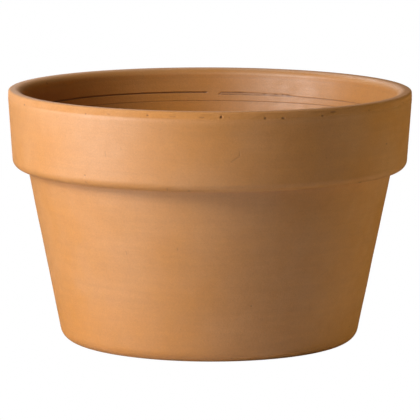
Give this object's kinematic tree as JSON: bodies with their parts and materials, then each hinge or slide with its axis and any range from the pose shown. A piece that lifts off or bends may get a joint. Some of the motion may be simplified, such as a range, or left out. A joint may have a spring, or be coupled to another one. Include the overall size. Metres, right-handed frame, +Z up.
{
  "type": "plant pot",
  "caption": "Low round unglazed clay plant pot with a thick rounded collar, a tapered wall, a flat foot ring and a central drainage hole.",
  "frame": {"origin": "centre of the foot ring, on the ground that the pot stands on", "axes": "+Z up along the pot's axis, +X and +Y level; the pot is turned, so it has no front"},
  "size_m": [0.254, 0.254, 0.1587],
  "materials": {
    "terracotta": "matt unglazed fired clay, orange to pinkish brown, with fine turning lines and small pits"
  },
  "bodies": {
    "root": {"pot": "terracotta"}
  },
  "joints": []
}
